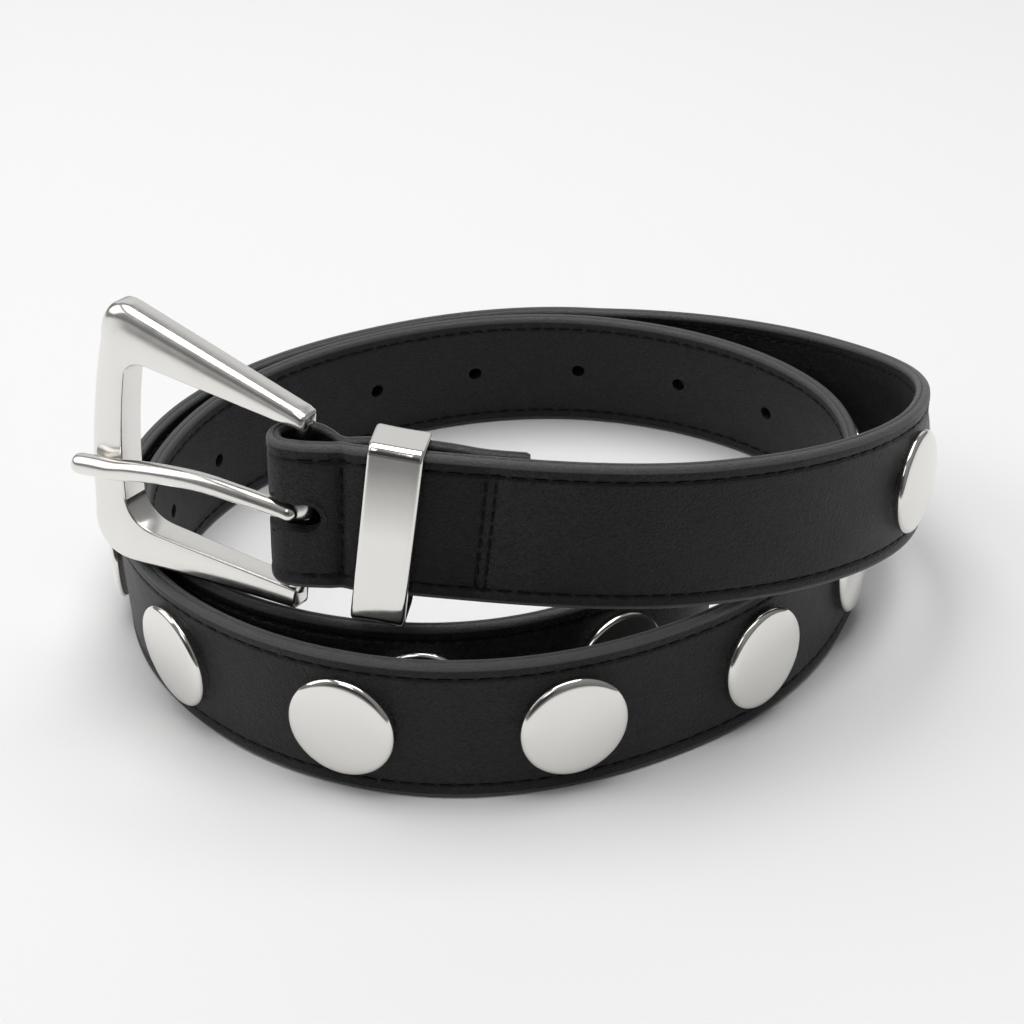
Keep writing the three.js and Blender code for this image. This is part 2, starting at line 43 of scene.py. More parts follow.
# Sizes, in millimetres, as in the CAD
STRAP_WIDTH = 30
STRAP_THICK = 3
TIP_TURN = 687
TIP_LENGTH = 20
COIL_REACH = 82
BAR_TURN = -120
BAR_RADIUS = 1.6
BAR_PLAY = 0.5
FOLD_SLACK = 0.9
SKIVED_THICK = 2.2
FOLD_LENGTH = 41.4
SEAM_NEAR = 0.21
SEAM_FAR = 0.843
SLOT_HEIGHT = 6
SLOT_REACH = 5.2
HOLE_COUNT = 8
HOLE_PITCH = 26.3
HOLE_RADIUS = 1.6
FIRST_HOLE = 738.5
STUD_RADIUS = 10.7
STUD_GAP = 0.6
STUD_PITCH = 43.6
FIRST_STUD = 137.5
STUD_COUNT = 14
TAIL_STUDS = 2
TAIL_PITCH = 39.4
TAIL_END = 36.2
STUD_SHIFTS = {9: 0.065, 10: 0.028}
KEEPER_LENGTH = 10.2
KEEPER_HEIGHT = 37.7
KEEPER_WALL = 1.2
KEEPER_RIM = 1.1
KEEPER_PLAY = 0.5
KEEPER_ALONG = 17.4
KEEPER_TILT = 4
FRAME_LENGTH = 50
FRAME_HEIGHT = 57
FRAME_THICK = 6
FRAME_TURN = 33
FRAME_CANT = 5.5
FRAME_RIDE = 0.435
RIDE_HEIGHT = STRAP_WIDTH / 2 + FRAME_HEIGHT * FRAME_RIDE
PRONG_RADIUS = 2.1
PRONG_PLAY = 0.4
EYE_WALL = 1.6
EYE_HEIGHT = 3.8
# From the tables' own origin to the frame's origin
SHIFT = Vector((-2.6401, -2.8963, 0.1416))

# Sizes of the dressed model alone, in millimetres
SEAM_INSET = 3.0
SEAM_SPACING = 1.8
GROOVE_HALF = 0.62
BACK_GROOVE_HALF = 0.5
EDGE_ROUND = 0.95
SKIN_SINK = 0.03
NOSE_SWELL = 0.55
NOSE_SPREAD = 3.6
CREASE_SPREAD = 1.7
SEWN_LENGTH = 50
# UV across the strap is -1 to 1 on its faces and this number on its edges
EDGE_MARK = 1.2
STITCH_PITCH = 3.7
STITCH_LENGTH = 2.7
STITCH_RADIUS = 0.24
CROSS_PITCH = 2.9
CROSS_LENGTH = 2.0
CROSS_RADIUS = 0.22
RIM_GAP = 0.75
RIM_RADIUS = 0.34
INNER_BEVEL = 0.45
BACK_BEVEL = 0.5
FRAME_CROWN = 0.32
LOWER_END = 1.2
KEEPER_HANG = 0.5
KEEPER_YAW = -3.5
KEEPER_HOLLOW = 0.10

# turn in degrees, reach: share of COIL_REACH, lift: share of RIDE_HEIGHT, lean in degrees
COIL_ROWS = [
    (-150, 1.165, 1.002, 0), (-105, 0.895, 0.964, 3), (-60, 0.890, 0.797, 2),
    (-15, 1.020, 0.562, -1), (30, 1.110, 0.175, -3), (75, 1.090, 0, -7),
    (120, 1.005, 0, -8), (165, 0.985, 0, -2), (210, 0.990, 0, 6),
    (255, 1.000, 0, 3), (300, 0.885, 0, 2), (345, 0.875, 0, -4),
    (390, 1.035, 0, -9), (435, 1.050, 0, -10), (480, 0.950, 0, -6),
    (525, 0.920, 0, -2), (570, 0.945, 0, 3), (615, 0.862, 0, 0),
    (660, 0.680, 0, -2), (705, 0.520, 0, -3),
]
# share of FOLD_LENGTH, gap: share of the bar's room
FOLD_ROWS = [
    (0, 1.00), (0.075, 1.00), (0.14, 0.60), (0.205, 0.03), (0.28, 0.15), (0.40, 0.36),
    (0.52, 0.40), (0.66, 0.30), (0.77, 0.10), (0.83, 0.03), (1, 0.03),
]
# corners from the end of the upper arm to the end of the lower arm:
# number, reach: share of FRAME_LENGTH, rise and round: share of FRAME_HEIGHT
FRAME_OUTER = [
    (0, -0.030, 0.338, 0), (1, 0.908, 0.488, 0.096), (2, 1.006, 0, 0.350),
    (3, 0.956, -0.509, 0.158), (4, -0.045, -0.385, 0),
]
FRAME_INNER = [
    (0, -0.030, 0.284, 0), (1, 0.794, 0.295, 0.088), (2, 0.848, 0, 0.350),
    (3, 0.778, -0.330, 0.123), (4, -0.045, -0.307, 0),
]
# corner, then front, back and the rounded shoulder: share of FRAME_THICK
FRAME_FACES = [
    (0, 0.38, -0.38, 0.23), (1, 0.50, -0.50, 0.50), (2, 0.50, -0.50, 0.50),
    (3, 0.50, -0.50, 0.50), (4, 0.38, -0.38, 0.23),
]
# reach: share of FRAME_LENGTH, rise: share of FRAME_HEIGHT, off: share of FRAME_THICK, size: radius
PRONG_ROWS = [
    (-0.010, 0.000, 0.69, 0.80), (0.030, 0.001, 0.71, 0.80), (0.100, 0.002, 0.77, 0.81),
    (0.200, 0.003, 0.87, 0.84), (0.360, -0.004, 0.95, 0.88), (0.520, -0.030, 0.97, 0.92),
    (0.680, -0.068, 0.95, 0.96), (0.800, -0.103, 0.92, 0.99), (0.920, -0.125, 0.92, 1.00),
    (0.985, -0.138, 0.93, 1.00),
]

# Plain display of colours, as in the photo
bpy.context.scene.view_settings.view_transform = "Standard"

# Camera at the photo's angle, before anything else is made
camera_data = bpy.data.cameras.new("camera")
camera_data.sensor_width = 36
camera_data.lens = 79.8
camera_data.clip_end = 20
camera = bpy.data.objects.new("camera", camera_data)
bpy.context.scene.collection.objects.link(camera)
CAMERA_BACK = 466.2
CAMERA_HIGH = 247.9
AIM_FORWARD = 33
aim = SHIFT + Vector((0, AIM_FORWARD, 0))
camera.location = (aim + Vector((0, -CAMERA_BACK, CAMERA_HIGH))) * MM
look = aim * MM - camera.location
camera.rotation_euler = look.to_track_quat("-Z", "Y").to_euler()
bpy.context.scene.camera = camera


# Path of the strap
def row_value(rows, at, column):
    i = 0
    while i + 2 < len(rows) and rows[i + 1][0] <= at:
        i += 1
    a, b = rows[max(i - 1, 0)], rows[i]
    c, d = rows[i + 1], rows[min(i + 2, len(rows) - 1)]
    step = c[0] - b[0]
    f = (at - b[0]) / step
    m0 = (c[column] - a[column]) / (c[0] - a[0]) * step
    m1 = (d[column] - b[column]) / (d[0] - b[0]) * step
    g = f * f
    h = g * f
    start = (2 * h - 3 * g + 1) * b[column] + (h - 2 * g + f) * m0
    return start + (3 * g - 2 * h) * c[column] + (h - g) * m1


def lower_edge(turn):
    reach = COIL_REACH * row_value(COIL_ROWS, turn, 1)
    lift = RIDE_HEIGHT * row_value(COIL_ROWS, turn, 2)
    a = math.radians(turn)
    return Vector((reach * math.cos(a), reach * math.sin(a), max(lift, 0)))


def strap_at(turn):
    along = (lower_edge(turn + 0.3) - lower_edge(turn - 0.3)).normalized()
    flat_out = along.cross(Vector((0, 0, 1))).normalized()
    flat_up = flat_out.cross(along)
    lean = math.radians(row_value(COIL_ROWS, turn, 3))
    up = flat_up * math.cos(lean) + flat_out * math.sin(lean)
    out = flat_out * math.cos(lean) - flat_up * math.sin(lean)
    return lower_edge(turn) + up * (STRAP_WIDTH / 2), along, up, out


measured = []
travelled = 0.0
previous = strap_at(BAR_TURN)[0]
turn = BAR_TURN
while turn < TIP_TURN:
    here = strap_at(turn)[0]
    travelled += (here - previous).length
    previous = here
    measured.append((turn, travelled))
    turn += 0.5
STRAP_RUN = travelled


def strap_after(distance):
    lo, hi = 0, len(measured) - 1
    while hi - lo > 1:
        mid = (lo + hi) // 2
        if measured[mid][1] < distance:
            lo = mid
        else:
            hi = mid
    a, b = measured[lo], measured[hi]
    return strap_at(a[0] + (b[0] - a[0]) * (distance - a[1]) / (b[1] - a[1]))


bar_middle, bar_along, bar_up, bar_out = strap_at(BAR_TURN)
BAR_ROOM = 2 * (BAR_RADIUS + BAR_PLAY)
fold_radius = BAR_ROOM / 2 + STRAP_THICK / 2
bar_centre = bar_middle - bar_out * fold_radius
nose_centre = bar_centre - bar_along * FOLD_SLACK


# Mesh helpers
def to_row(p):
    return (p + SHIFT) * MM


def new_object(name, verts, faces, smooth=40, uvs=None):
    mesh = bpy.data.meshes.new(name)
    mesh.from_pydata([tuple(v) for v in verts], [], faces)
    if uvs is not None:
        layer = mesh.uv_layers.new(name="belt")
        for loop in mesh.loops:
            layer.data[loop.index].uv = uvs[loop.vertex_index]
    mesh.validate()
    mesh.update()
    for poly in mesh.polygons:
        poly.use_smooth = True
    mesh.set_sharp_from_angle(angle=math.radians(smooth))
    obj = bpy.data.objects.new(name, mesh)
    bpy.context.scene.collection.objects.link(obj)
    return obj


def face_outwards(obj):
    mesh = bmesh.new()
    mesh.from_mesh(obj.data)
    bmesh.ops.recalc_face_normals(mesh, faces=mesh.faces)
    mesh.to_mesh(obj.data)
    mesh.free()


def bands(rings, sides, base=0):
    """Faces between one ring of points and the next."""
    made = []
    for i in range(rings - 1):
        p = base + i * sides
        for k in range(sides):
            j = (k + 1) % sides
            made.append((p + k, p + j, p + sides + j, p + sides + k))
    return made


def caps(rings, sides, base=0):
    """One face over the first ring and one over the last."""
    last = base + (rings - 1) * sides
    first_face = tuple(base + k for k in range(sides - 1, -1, -1))
    return [first_face, tuple(last + k for k in range(sides))]


def circle(sides, radius=1.0):
    angles = [2 * math.pi * k / sides for k in range(sides)]
    return [(radius * math.cos(a), radius * math.sin(a)) for a in angles]


def bump_at(x, centre, width):
    """1 at the centre, falling off softly over the width."""
    return math.exp(-((x - centre) / width) ** 2)


def hollow(x, centre, half, deep):
    """A groove with soft shoulders, as a dent of that depth."""
    t = abs(x - centre) / half
    if t >= 1:
        return 0.0
    return deep * (0.5 + 0.5 * math.cos(math.pi * t))


# Strap skin: rings of one cross-section, front face, top edge, back face, bottom edge
half_width = STRAP_WIDTH / 2
SEAM_AT = half_width - SEAM_INSET
NEAR_SEAM = SEAM_NEAR * FOLD_LENGTH
FAR_SEAM = SEAM_FAR * FOLD_LENGTH
SEAM_ROWS = [FAR_SEAM - SEAM_SPACING / 2, FAR_SEAM + SEAM_SPACING / 2]
FACE, TOP_EDGE, BACK, LOW_EDGE = range(4)
EDGE_ANGLES = (12, 34, 56, 78)
# Across the face: even steps, then close ones where the stitched groove is
FLAT_STEPS = [0, 1.2, 2.4, 3.2, 4.2, 5.6, 7.2, 8.8, 10.2]
GROOVE_STEPS = [-0.9, -0.5, -0.22, 0, 0.22, 0.5, 0.9]
HALF_STEPS = FLAT_STEPS + [SEAM_AT + v for v in GROOVE_STEPS] + [half_width - 1.4]
FACE_STEPS = [-v for v in reversed(HALF_STEPS[1:])] + HALF_STEPS
# The join of the two layers along an edge: along the edge from the join, then its depth
JOIN_ROWS = [(0.34, 0.02), (0.16, 0.16), (0, 0.30), (-0.16, 0.16), (-0.34, 0.02)]
random.seed(11)


def edge_line(thick, half):
    """(out, across) along the upper edge, from the front face to the back."""
    t = thick / 2
    r = min(EDGE_ROUND, thick * 0.36)
    round_part = []
    for angle in EDGE_ANGLES:
        w = math.radians(angle)
        round_part.append((t - r + r * math.cos(w), half - r + r * math.sin(w)))
    join = -0.12 * t
    dents = [(t - r - 0.25, 0.0)] + [(join + a, dent) for a, dent in JOIN_ROWS]
    middle_part = [(a, half - dent * min(1, thick / 3)) for a, dent in dents]
    return round_part + middle_part + [(-a, b) for a, b in reversed(round_part)]


def ring_outline(thick, half):
    """(out, across, kind) of the points of one ring."""
    t = thick / 2
    scale = half / half_width
    points = []
    for b in FACE_STEPS:
        dip = hollow(abs(b), SEAM_AT, GROOVE_HALF, 0.34)
        pad = 0.10 * bump_at(abs(b), half_width - 1.7, 0.8)
        points.append((t - dip + pad - SKIN_SINK, b * scale, FACE))
    edge = edge_line(thick, half)
    points += [(a, b, TOP_EDGE) for a, b in edge]
    for b in reversed(FACE_STEPS):
        dip = hollow(abs(b), SEAM_AT, BACK_GROOVE_HALF, 0.16)
        points.append((-t + dip + SKIN_SINK, b * scale, BACK))
    points += [(a, -b, LOW_EDGE) for a, b in reversed(edge)]
    return points


def swell_at(distance):
    """The leather swells at the bar and is pinched at the near seam."""
    pinch = NOSE_SWELL * bump_at(distance, NEAR_SEAM, CREASE_SPREAD)
    return NOSE_SWELL * bump_at(distance, 1.0, NOSE_SPREAD) - pinch


def front_shape(distance, b):
    """How far the front face stands out, in mm, where the fold is sewn and pressed."""
    lift = swell_at(distance) - 0.12 * bump_at(distance, FAR_SEAM, 2.4)
    if abs(b) < half_width - 1.6:
        lift -= hollow(distance, NEAR_SEAM, 1.0, 0.42)
    if abs(b) < half_width - 2.2:
        for row in SEAM_ROWS:
            lift -= hollow(distance, row, GROOVE_HALF, 0.36)
    return lift


def sewn_lift(distance, b, kind):
    """The same for any side of the strap: the back follows the front in part."""
    if distance >= SEWN_LENGTH:
        return 0.0
    if kind == FACE:
        return front_shape(distance, b)
    swell = swell_at(distance)
    if kind == BACK:
        return min(swell, 0.45) if swell > 0 else swell * 0.3
    return swell


rings = []
STRAP_SMOOTH = 55


def add_ring(middle, up, out, half, thick, travel, shaped=False):
    """One ring of the skin, with its place along and across the strap as its UV."""
    ring = []
    for a, b, kind in ring_outline(thick, half):
        lift = sewn_lift(travel, b, kind) if shaped else 0.0
        v = {TOP_EDGE: EDGE_MARK, LOW_EDGE: -EDGE_MARK}.get(kind, b / half_width)
        ring.append((middle + out * (a + lift) + up * b, (travel * MM, v)))
    rings.append(ring)


def back_layer(distance):
    middle, along, up, out = strap_after(distance)
    gap = BAR_ROOM * row_value(FOLD_ROWS, distance / FOLD_LENGTH, 1)
    return middle - out * (STRAP_THICK / 2 + gap + SKIVED_THICK / 2), along, up, out


def half_at(distance):
    """Half of the strap's width, less where its tip is rounded."""
    share = 1 - (STRAP_RUN - distance) / TIP_LENGTH
    if share <= 0:
        return half_width
    return half_width * max((1 - share ** 2.4) ** 0.5, 0.1)


# The second layer, from its end to the bar
BACK_STEPS = 56
for i in range(BACK_STEPS, -1, -1):
    distance = FOLD_LENGTH * i / BACK_STEPS
    middle, _, up, out = back_layer(distance)
    half = half_width - 0.35 if i == BACK_STEPS else half_width
    add_ring(middle, up, -out, half, SKIVED_THICK, -distance)
# Round the bar
NOSE_STEPS = 20
for i in range(1, NOSE_STEPS):
    angle = math.pi * (1 - i / NOSE_STEPS)
    thick = SKIVED_THICK + (STRAP_THICK - SKIVED_THICK) * i / NOSE_STEPS
    out = bar_out * math.cos(angle) - bar_along * math.sin(angle)
    middle = nose_centre + out * (BAR_ROOM / 2 + thick / 2)
    swell = NOSE_SWELL * bump_at(0, 1.0, NOSE_SPREAD)
    middle += bar_out * swell * (0.5 + 0.5 * math.cos(angle))
    add_ring(middle, bar_up, out, half_width, thick, -0.1)
# The front layer, in finer steps where it is sewn
distance = 0.0
TIP_START = STRAP_RUN - TIP_LENGTH
front_steps = []
while distance < TIP_START - 0.01:
    front_steps.append(distance)
    if distance < 12 or abs(distance - FAR_SEAM) < 3:
        distance += 0.3
    elif distance < SEWN_LENGTH:
        distance += 0.9
    else:
        distance += 1.7
for distance in front_steps + [TIP_START]:
    middle, _, up, out = strap_after(distance)
    add_ring(middle, up, out, half_width, STRAP_THICK, distance, shaped=True)
# The rounded tip, in closer steps towards its end
TIP_STEPS = 24
for i in range(1, TIP_STEPS + 1):
    share = min(1 - (1 - i / TIP_STEPS) ** 1.7, 0.997)
    distance = STRAP_RUN - TIP_LENGTH * (1 - share)
    middle, _, up, out = strap_after(distance)
    add_ring(middle, up, out, half_at(distance), STRAP_THICK, distance)

count = len(rings[0])
verts = [to_row(p) for ring in rings for p, _ in ring]
uvs = [uv for ring in rings for _, uv in ring]
faces = bands(len(rings), count) + caps(len(rings), count)
strap = new_object("belt_strap", verts, faces, smooth=STRAP_SMOOTH, uvs=uvs)
face_outwards(strap)


def frame_matrix(x, y, z, origin):
    m = Matrix((x, y, z)).transposed().to_4x4()
    m.translation = origin
    return m


def place(points, matrix):
    return [to_row(matrix @ p) for p in points]


# Cutters for the prong slot and the adjusting holes
def stadium(reach, radius, back, steps=16):
    """Outline of a slot with one round end, open at the back."""
    pts = [(-back, -radius)]
    for i in range(steps + 1):
        a = -math.pi / 2 + math.pi * i / steps
        pts.append((reach - radius + radius * math.cos(a), radius * math.sin(a)))
    pts.append((-back, radius))
    return pts


def prism(name, outline, low, high, matrix):
    n = len(outline)
    pts = [Vector((x, y, z)) for z in (low, high) for x, y in outline]
    return new_object(name, place(pts, matrix), caps(2, n) + bands(2, n))


bar_matrix = frame_matrix(bar_along, bar_up, bar_out, bar_centre)
SLOT_CUT = 9
HOLE_CUT = 4
slot_outline = stadium(SLOT_REACH, SLOT_HEIGHT / 2, 14)
cutters = [prism("cut_slot", slot_outline, -SLOT_CUT, SLOT_CUT, bar_matrix)]
for i in range(HOLE_COUNT):
    middle, along, up, out = strap_after(FIRST_HOLE + i * HOLE_PITCH)
    hole_matrix = frame_matrix(along, up, out, middle)
    cutters.append(prism("cut_hole", circle(32, HOLE_RADIUS), -HOLE_CUT, HOLE_CUT, hole_matrix))
joined = bmesh.new()
for cutter in cutters:
    joined.from_mesh(cutter.data)
cut_mesh = bpy.data.meshes.new("cutter")
joined.to_mesh(cut_mesh)
joined.free()
for cutter in cutters:
    bpy.data.objects.remove(cutter, do_unlink=True)
cutter = bpy.data.objects.new("cutter", cut_mesh)
bpy.context.scene.collection.objects.link(cutter)


def apply_modifiers(obj, smooth):
    graph = bpy.context.evaluated_depsgraph_get()
    mesh = bpy.data.meshes.new_from_object(obj.evaluated_get(graph))
    obj.modifiers.clear()
    obj.data = mesh
    for poly in mesh.polygons:
        poly.use_smooth = True
    mesh.set_sharp_from_angle(angle=math.radians(smooth))


cut = strap.modifiers.new("cut", "BOOLEAN")
cut.object = cutter
cut.operation = "DIFFERENCE"
cut.solver = "EXACT"
apply_modifiers(strap, STRAP_SMOOTH)
bpy.data.objects.remove(cutter, do_unlink=True)


# Thread: one capsule per stitch, sunk in its groove
class Rope:
    """Round strands in one mesh: stitches, and the rim of the slot."""

    def __init__(self):
        self.verts = []
        self.faces = []

    def strand(self, stations, up, sides):
        """Stations are (centre, direction, radius)."""
        base = len(self.verts)
        for centre, run, radius in stations:
            side = run.cross(up).normalized()
            top = side.cross(run)
            for x, y in circle(sides, radius):
                self.verts.append(to_row(centre + side * x + top * y))
        self.faces += bands(len(stations), sides, base) + caps(len(stations), sides, base)

    def capsule(self, a, b, radius, up):
        run = (b - a).normalized()
        length = (b - a).length
        shape = [(0, 0.45), (0.12, 0.9), (0.5, 1.0), (0.88, 0.9), (1, 0.45)]
        self.strand([(a + run * length * s, run, radius * size) for s, size in shape], up, 6)

    def tube(self, points, radius, up):
        last = len(points) - 1
        stations = []
        for i, p in enumerate(points):
            run = (points[min(i + 1, last)] - points[max(i - 1, 0)]).normalized()
            stations.append((p, run, radius * (0.35 if i in (0, last) else 1)))
        self.strand(stations, up, 8)


def on_strap(distance, b, off):
    """A point across the strap and off its middle, and the way out there."""
    middle, _, up, out = strap_after(distance)
    return middle + up * b + out * off, out


thread = Rope()
FRONT_SUNK = 0.20
BACK_SUNK = 0.02
AT_EDGE = 20
for face_sign, sunk in ((1, FRONT_SUNK), (-1, BACK_SUNK)):
    for side in (1, -1):
        distance = 1.2 if face_sign > 0 else FOLD_LENGTH + 1
        while distance < STRAP_RUN - 8:
            jitter = random.uniform(-0.12, 0.12)
            tilt = random.uniform(-0.10, 0.10)
            b0 = side * SEAM_AT * half_at(distance) / half_width
            b1 = side * SEAM_AT * half_at(distance + STITCH_LENGTH) / half_width
            off = face_sign * (STRAP_THICK / 2 - sunk)
            if face_sign > 0 and distance < SEWN_LENGTH:
                off += front_shape(distance, AT_EDGE)
            a, out = on_strap(distance + jitter, b0 - tilt, off)
            c, _ = on_strap(distance + jitter + STITCH_LENGTH, b1 + tilt, off)
            thread.capsule(a, c, STITCH_RADIUS, out)
            distance += STITCH_PITCH
for row in SEAM_ROWS + [NEAR_SEAM]:
    b = -SEAM_AT
    while b < SEAM_AT - 1.8:
        off = STRAP_THICK / 2 + front_shape(row, b) + 0.10
        a, out = on_strap(row, b, off)
        c, _ = on_strap(row, b + CROSS_LENGTH, off)
        thread.capsule(a, c, CROSS_RADIUS, out)
        b += CROSS_PITCH
stitches = new_object("belt_stitches", thread.verts, thread.faces, smooth=60)

# Raised rim pressed round the prong slot and on round the nose of the fold
rim_points = []
for x, y in stadium(SLOT_REACH + RIM_GAP, SLOT_HEIGHT / 2 + RIM_GAP, 3.6, 28):
    if x >= 0:
        point, _ = on_strap(x, y, STRAP_THICK / 2 + front_shape(x, 0) - 0.12)
    else:
        turn_back = min(-x / (BAR_ROOM / 2 + STRAP_THICK), 1.2)
        out = bar_out * math.cos(turn_back) - bar_along * math.sin(turn_back)
        point = nose_centre + out * (BAR_ROOM / 2 + STRAP_THICK + 0.4) + bar_up * y
        point += bar_along * FOLD_SLACK * (1 - min(-x, 1))
    rim_points.append(point)
dense = []
for start, stop in zip(rim_points, rim_points[1:]):
    steps = max(1, int((stop - start).length / 0.5))
    dense += [start.lerp(stop, k / steps) for k in range(steps)]
rim = Rope()
rim.tube(dense + [rim_points[-1]], RIM_RADIUS, bar_out)
slot_rim = new_object("belt_slot_rim", rim.verts, rim.faces, smooth=60)


# Studs: flat domes with a rolled rim and a skirt that beds into the leather
STUD_PROFILE = [
    (0.90, -1.35), (0.955, -1.25), (0.968, -0.55), (0.985, -0.05), (1.0, 0.30),
    (1.0, 0.62), (0.992, 0.88), (0.978, 1.10), (0.958, 1.30), (0.93, 1.46),
    (0.895, 1.58), (0.85, 1.69), (0.78, 1.81), (0.70, 1.92), (0.60, 2.02),
    (0.50, 2.10), (0.38, 2.18), (0.26, 2.23), (0.14, 2.27), (0.05, 2.285),
]


def lathe(profile, segments, matrix, radius):
    """A profile of (share of the radius, height) turned round, with a point at its top."""
    pts = []
    for share, height in profile:
        pts += [Vector((x, y, height)) for x, y in circle(segments, radius * share)]
    pts.append(Vector((0, 0, profile[-1][1] + 0.004)))
    top = (len(profile) - 1) * segments
    fs = bands(len(profile), segments)
    for k in range(segments):
        fs.append((top + k, top + (k + 1) % segments, len(pts) - 1))
    fs.append(tuple(range(segments - 1, -1, -1)))
    return place(pts, matrix), fs


STUD_SEGMENTS = 72
stud_spots = []
for i in range(1, STUD_COUNT + 1):
    steps = i - 1 + STUD_SHIFTS.get(i, 0)
    stud_spots.append((f"stud_{i:02d}", FIRST_STUD + steps * STUD_PITCH))
for i in range(1, TAIL_STUDS + 1):
    stud_spots.append((f"stud_tail_{i}", STRAP_RUN - TAIL_END - (TAIL_STUDS - i) * TAIL_PITCH))
studs = []
for name, distance in stud_spots:
    middle, along, up, out = strap_after(distance)
    matrix = frame_matrix(along, up, out, middle + out * (STRAP_THICK / 2 + STUD_GAP))
    pts, fs = lathe(STUD_PROFILE, STUD_SEGMENTS, matrix, STUD_RADIUS)
    stud = new_object(name.replace("stud", "cap"), pts, fs, smooth=50)
    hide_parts(name)
    studs.append(stud)

# Buckle frame: cornered plate with a soft outer shoulder, and its bar
turn_rad, cant_rad = math.radians(FRAME_TURN), math.radians(FRAME_CANT)
away = Vector((-math.cos(turn_rad), math.sin(turn_rad), 0))
face = Vector((-math.sin(turn_rad), -math.cos(turn_rad), 0))
frame_away = away * math.cos(cant_rad) + Vector((0, 0, math.sin(cant_rad)))
frame_up = Vector((0, 0, math.cos(cant_rad))) - away * math.sin(cant_rad)
frame_basis = frame_matrix(-frame_away, frame_up, face, bar_centre)


def corner_curve(start, corner, stop, t):
    return start * (1 - t) ** 2 + corner * 2 * t * (1 - t) + stop * t ** 2


# Share of a side's steps that its curve at either end takes
CORNER_SHARE = 0.3


def corner_line(rows, at):
    """Point on a line through corners, each cut off with a curve. Whole numbers are corners."""
    points = [Vector((-reach * FRAME_LENGTH, rise * FRAME_HEIGHT)) for _, reach, rise, _ in rows]
    rounds = [row[3] * FRAME_HEIGHT for row in rows]

    def from_corner(corner, towards):
        start, stop = points[corner], points[towards]
        return start.lerp(stop, rounds[corner] / (stop - start).length)

    i = min(int(at), len(rows) - 2)
    f = at - i
    leave = from_corner(i, i + 1)
    enter = from_corner(i + 1, i)
    if f < CORNER_SHARE and i > 0:
        t = 0.5 + 0.5 * f / CORNER_SHARE
        return corner_curve(from_corner(i, i - 1), points[i], leave, t)
    if f > 1 - CORNER_SHARE and i + 2 < len(rows):
        t = 0.5 * (f - 1 + CORNER_SHARE) / CORNER_SHARE
        return corner_curve(enter, points[i + 1], from_corner(i + 1, i + 2), t)
    low = CORNER_SHARE if i > 0 else 0
    high = 1 - CORNER_SHARE if i + 2 < len(rows) else 1
    return leave.lerp(enter, (f - low) / (high - low))


def arc(centre, radius, start, stop, steps):
    """Points (across, off) on a circular arc, angles in degrees from the outward direction."""
    made = []
    for k in range(steps + 1):
        a = math.radians(start + (stop - start) * k / steps)
        made.append((centre[0] - radius * math.cos(a), centre[1] + radius * math.sin(a)))
    return made


def frame_ring(at, size=1.0, push=0.0):
    """Section of the frame from its outer line to its inner one, made smaller at the ends."""
    outer, inner = corner_line(FRAME_OUTER, at), corner_line(FRAME_INNER, at)
    width = (outer - inner).length
    inwards = (inner - outer) / width
    front = FRAME_THICK * row_value(FRAME_FACES, at, 1)
    back = FRAME_THICK * row_value(FRAME_FACES, at, 2)
    shoulder = min(FRAME_THICK * row_value(FRAME_FACES, at, 3), width * 0.7)
    profile = arc((BACK_BEVEL, back + BACK_BEVEL), BACK_BEVEL, -90, 0, 4)
    profile += arc((shoulder, front - shoulder), shoulder, 0, 90, 12)
    flat = width - INNER_BEVEL - shoulder
    crown = min(FRAME_CROWN, 0.05 * flat)
    for k in range(1, 6):
        share = k / 6
        profile.append((shoulder + flat * share, front + crown * 4 * share * (1 - share)))
    profile += arc((width - INNER_BEVEL, front - INNER_BEVEL), INNER_BEVEL, 90, 180, 5)
    profile += arc((width - BACK_BEVEL, back + BACK_BEVEL), BACK_BEVEL, 180, 270, 4)
    middle = (front + back) / 2
    ring = []
    for across, off in profile:
        across = width / 2 + (across - width / 2) * size
        p = outer + inwards * across
        ring.append(Vector((p.x + push, p.y, middle + (off - middle) * size)))
    return ring


def loft(name, rings, matrix, smooth):
    sides = len(rings[0])
    pts = [p for ring in rings for p in ring]
    fs = bands(len(rings), sides) + caps(len(rings), sides)
    obj = new_object(name, place(pts, matrix), fs, smooth=smooth)
    face_outwards(obj)
    return obj


# Rounded ends of the arms, inside their own length: size, then mm short of the end
ARM_END = [(0.60, 0.0), (0.78, 0.10), (0.90, 0.32), (0.97, 0.62), (1.0, 1.0)]
SIDE_STEPS = [k / 40 for k in range(1, 13)] + [0.5] + [0.7 + k / 40 for k in range(13)]
frame_rings = [frame_ring(0, size, -short) for size, short in ARM_END]
for corner in range(len(FRAME_OUTER) - 1):
    frame_rings += [frame_ring(corner + f) for f in SIDE_STEPS]
frame_rings = frame_rings[:-1]
frame_rings += [frame_ring(4, size, -short - LOWER_END) for size, short in reversed(ARM_END)]
plate = loft("buckle_plate", frame_rings, frame_basis, 30)


def round_bar(name, stations, matrix, sides=36):
    """Stations are (height along the bar, radius)."""
    pts = []
    for height, radius in stations:
        pts += [Vector((x, height, z)) for x, z in circle(sides, radius)]
    fs = [tuple(reversed(f)) for f in caps(len(stations), sides) + bands(len(stations), sides)]
    return new_object(name, place(pts, matrix), fs, smooth=35)


BAR_FOOT = 1.75
BAR_END = 1.7
top = FRAME_INNER[0][2] * FRAME_HEIGHT
bottom = FRAME_INNER[-1][2] * FRAME_HEIGHT
bar = round_bar("buckle_bar", [
    (bottom - 1.2, BAR_END), (bottom + 0.1, BAR_FOOT), (bottom + 0.5, BAR_RADIUS),
    (top - 0.5, BAR_RADIUS), (top - 0.1, BAR_FOOT), (top + 1.0, BAR_END),
], frame_basis)


